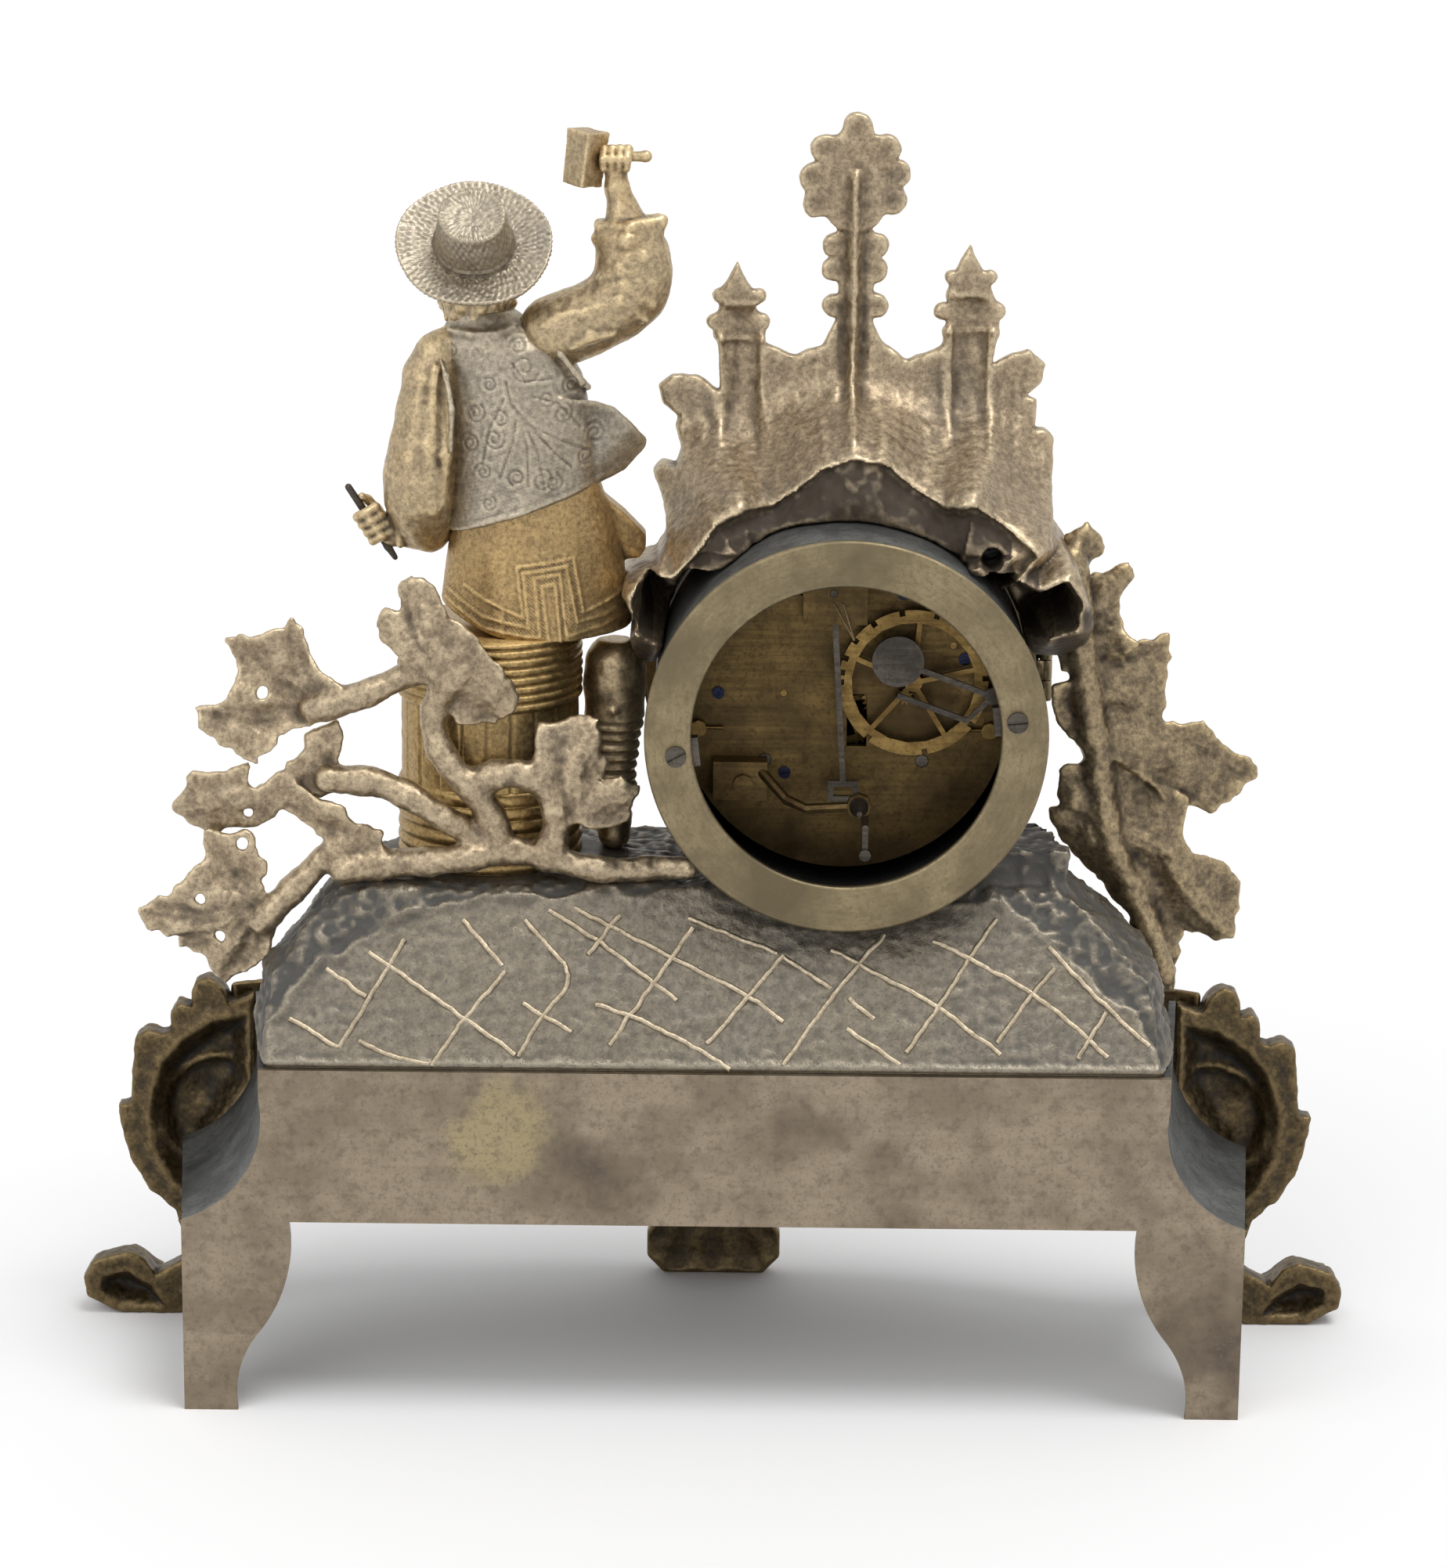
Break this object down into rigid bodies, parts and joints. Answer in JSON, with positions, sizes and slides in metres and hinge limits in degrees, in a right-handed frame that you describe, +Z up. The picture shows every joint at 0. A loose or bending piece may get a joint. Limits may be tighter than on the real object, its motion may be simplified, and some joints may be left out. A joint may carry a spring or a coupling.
{
  "type": "figural mantel clock",
  "caption": "Mantel clock with a stone carver beside a round clock drum in a pointed arch front, on a rocky mound and a footed base with leafy vines.",
  "frame": {"origin": "on the table, at the middle of the footprint", "axes": "+Z up, the dial faces -Y, the figure stands on the +X side"},
  "size_m": [0.3706, 0.117, 0.3554],
  "materials": {
    "patinated_gilt": "worn gilt over cast zinc, patinated",
    "figure_gilt": "worn gilt with grey patina",
    "sheet_steel": "dark grey, stained",
    "rock": "brown grey cast rock",
    "ring_brass": "turned, aged",
    "plate_brass": "dull, stained",
    "wheel_brass": "satin",
    "steel": "satin, aged",
    "blued_steel": "blued",
    "dial_white": "white enamel look",
    "clear_glass": "clear",
    "silk": "thin twisted thread"
  },
  "bodies": {
    "case": {"rear_panel": "patinated_gilt", "end_panel_left": "sheet_steel", "end_panel_right": "sheet_steel", "rear_leg_left": "patinated_gilt", "rear_leg_right": "patinated_gilt", "corner_scroll_left": "patinated_gilt", "corner_scroll_right": "patinated_gilt", "front_apron": "patinated_gilt", "center_foot": "patinated_gilt", "mound": "rock", "drum_case": "sheet_steel", "rear_ring": "ring_brass", "ring_screws": "steel", "ring_straps": "steel", "facade": "patinated_gilt", "canopy": "patinated_gilt", "vine_left": "patinated_gilt", "vine_right": "patinated_gilt", "cask": "figure_gilt", "tunic": "figure_gilt", "jacket": "figure_gilt", "hat": "figure_gilt", "head": "figure_gilt", "mallet": "figure_gilt", "chisel": "steel", "arm_left": "figure_gilt", "arm_right": "figure_gilt", "legs": "figure_gilt", "front_ring": "ring_brass", "dial": "dial_white", "hinge_pin": "ring_brass", "front_plate": "plate_brass", "back_plate": "plate_brass", "pillars": "wheel_brass", "bell_stand": "plate_brass", "bell_nut": "plate_brass", "suspension_cock": "plate_brass", "silk_loop": "silk", "escape_wheel": "wheel_brass"},
    "bezel": {"bezel_frame": "ring_brass", "bezel_glass": "clear_glass"},
    "minute": {"center_wheel": "wheel_brass", "minute_hand": "blued_steel"},
    "motion": {"minute_wheel": "wheel_brass"},
    "hour": {"hour_wheel": "wheel_brass", "hour_hand": "blued_steel"},
    "going_drum": {"going_barrel": "wheel_brass"},
    "going_key_arbor": {"going_winding_arbor": "steel"},
    "strike_drum": {"strike_barrel": "wheel_brass"},
    "strike_key_arbor": {"strike_winding_arbor": "steel"},
    "going_second": {"going_second_wheel": "wheel_brass"},
    "third": {"third_wheel": "wheel_brass"},
    "strike_second": {"strike_second_wheel": "wheel_brass"},
    "pins": {"pin_wheel": "wheel_brass"},
    "fan": {"fly": "wheel_brass"},
    "count": {"count_wheel": "wheel_brass"},
    "striker": {"hammer": "steel"},
    "detent": {"detent_lever": "steel"},
    "escapement": {"pallets": "steel", "crutch": "steel"}
  },
  "joints": [
    {"name": "bezel_hinge", "type": "hinge", "parent": "case", "child": "bezel", "pos_m": [-0.0939, -0.0294, 0.1944], "axis": [0, 0, -1], "range_deg": [0, 105]},
    {"name": "minute_turn", "type": "hinge", "parent": "case", "child": "minute", "pos_m": [-0.035, 0, 0.1944], "axis": [0, 1, 0], "continuous": true},
    {"name": "motion_turn", "type": "hinge", "parent": "case", "child": "motion", "pos_m": [-0.028, 0, 0.1854], "axis": [0, 1, 0], "continuous": true},
    {"name": "hour_turn", "type": "hinge", "parent": "case", "child": "hour", "pos_m": [-0.035, 0, 0.1944], "axis": [0, 1, 0], "continuous": true},
    {"name": "going_drum_turn", "type": "hinge", "parent": "case", "child": "going_drum", "pos_m": [-0.013, 0, 0.1794], "axis": [0, 1, 0], "continuous": true},
    {"name": "going_wind", "type": "hinge", "parent": "case", "child": "going_key_arbor", "pos_m": [-0.013, 0, 0.1794], "axis": [0, 1, 0], "continuous": true},
    {"name": "strike_drum_turn", "type": "hinge", "parent": "case", "child": "strike_drum", "pos_m": [-0.057, 0, 0.1794], "axis": [0, 1, 0], "continuous": true},
    {"name": "strike_wind", "type": "hinge", "parent": "case", "child": "strike_key_arbor", "pos_m": [-0.057, 0, 0.1794], "axis": [0, 1, 0], "continuous": true},
    {"name": "going_second_turn", "type": "hinge", "parent": "case", "child": "going_second", "pos_m": [-0.0181, 0, 0.1986], "axis": [0, 1, 0], "continuous": true},
    {"name": "third_turn", "type": "hinge", "parent": "case", "child": "third", "pos_m": [-0.0385, 0, 0.21], "axis": [0, 1, 0], "continuous": true},
    {"name": "strike_second_turn", "type": "hinge", "parent": "case", "child": "strike_second", "pos_m": [-0.0519, 0, 0.1986], "axis": [0, 1, 0], "continuous": true},
    {"name": "pins_turn", "type": "hinge", "parent": "case", "child": "pins", "pos_m": [-0.055, 0, 0.2122], "axis": [0, 1, 0], "continuous": true},
    {"name": "fan_turn", "type": "hinge", "parent": "case", "child": "fan", "pos_m": [-0.0651, 0, 0.2127], "axis": [0, 1, 0], "continuous": true},
    {"name": "count_turn", "type": "hinge", "parent": "case", "child": "count", "pos_m": [-0.054, 0, 0.2031], "axis": [0, 1, 0], "continuous": true},
    {"name": "striker_swing", "type": "hinge", "parent": "case", "child": "striker", "pos_m": [-0.041, 0, 0.1649], "axis": [0, 1, 0], "range_deg": [0, 8]},
    {"name": "detent_lift", "type": "hinge", "parent": "case", "child": "detent", "pos_m": [-0.076, 0, 0.2004], "axis": [0, -1, 0], "range_deg": [0, 8]},
    {"name": "crutch_swing", "type": "hinge", "parent": "case", "child": "escapement", "pos_m": [-0.0314, 0, 0.2302], "axis": [0, 1, 0], "range_deg": [-4, 4]}
  ],
  "couplings": [
    {"joint": "motion_turn", "follows": "minute_turn", "ratio": -0.33333},
    {"joint": "hour_turn", "follows": "minute_turn", "ratio": 0.083333},
    {"joint": "going_second_turn", "follows": "minute_turn", "ratio": -0.16667},
    {"joint": "going_drum_turn", "follows": "minute_turn", "ratio": 0.027778},
    {"joint": "third_turn", "follows": "minute_turn", "ratio": -6},
    {"joint": "strike_second_turn", "follows": "count_turn", "ratio": -1.2},
    {"joint": "strike_drum_turn", "follows": "count_turn", "ratio": 0.2},
    {"joint": "pins_turn", "follows": "count_turn", "ratio": 7.2}
  ]
}
